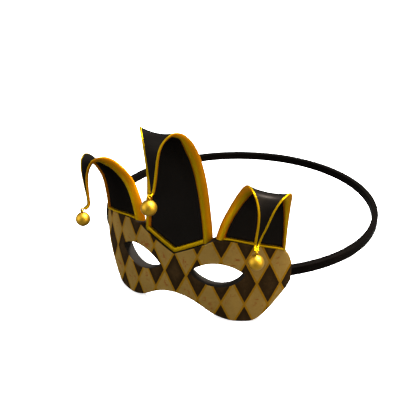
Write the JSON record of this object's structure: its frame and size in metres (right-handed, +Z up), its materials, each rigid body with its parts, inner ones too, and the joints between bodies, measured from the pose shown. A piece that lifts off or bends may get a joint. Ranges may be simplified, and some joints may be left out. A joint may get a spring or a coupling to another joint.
{
  "type": "mardi gras mask",
  "caption": "Harlequin carnival half mask with eye holes, folded jester horns edged in gold, a small bell at each tip and a round head strap.",
  "frame": {"origin": "middle of the mask's back face, on the bridge of the nose and level with the eyes", "axes": "+Z up, the mask faces -Y, the head is on its +Y side, and +X is to the right seen from the front"},
  "size_m": [0.241, 0.2822, 0.1512],
  "materials": {
    "printed_face": "antiqued harlequin print, satin",
    "horn_cloth": "black satin",
    "gold_edging": "gold lame binding, soft sheen",
    "bell_metal": "polished",
    "strap": "black woven elastic"
  },
  "bodies": {
    "root": {"mask_face": "printed_face", "head_strap": "strap", "horn_left": "horn_cloth", "horn_centre": "horn_cloth", "horn_right": "horn_cloth", "horn_edging_left": "gold_edging", "horn_edging_centre": "gold_edging", "horn_edging_right": "gold_edging", "bell_left": "bell_metal", "bell_centre": "bell_metal", "bell_right": "bell_metal"}
  },
  "joints": []
}
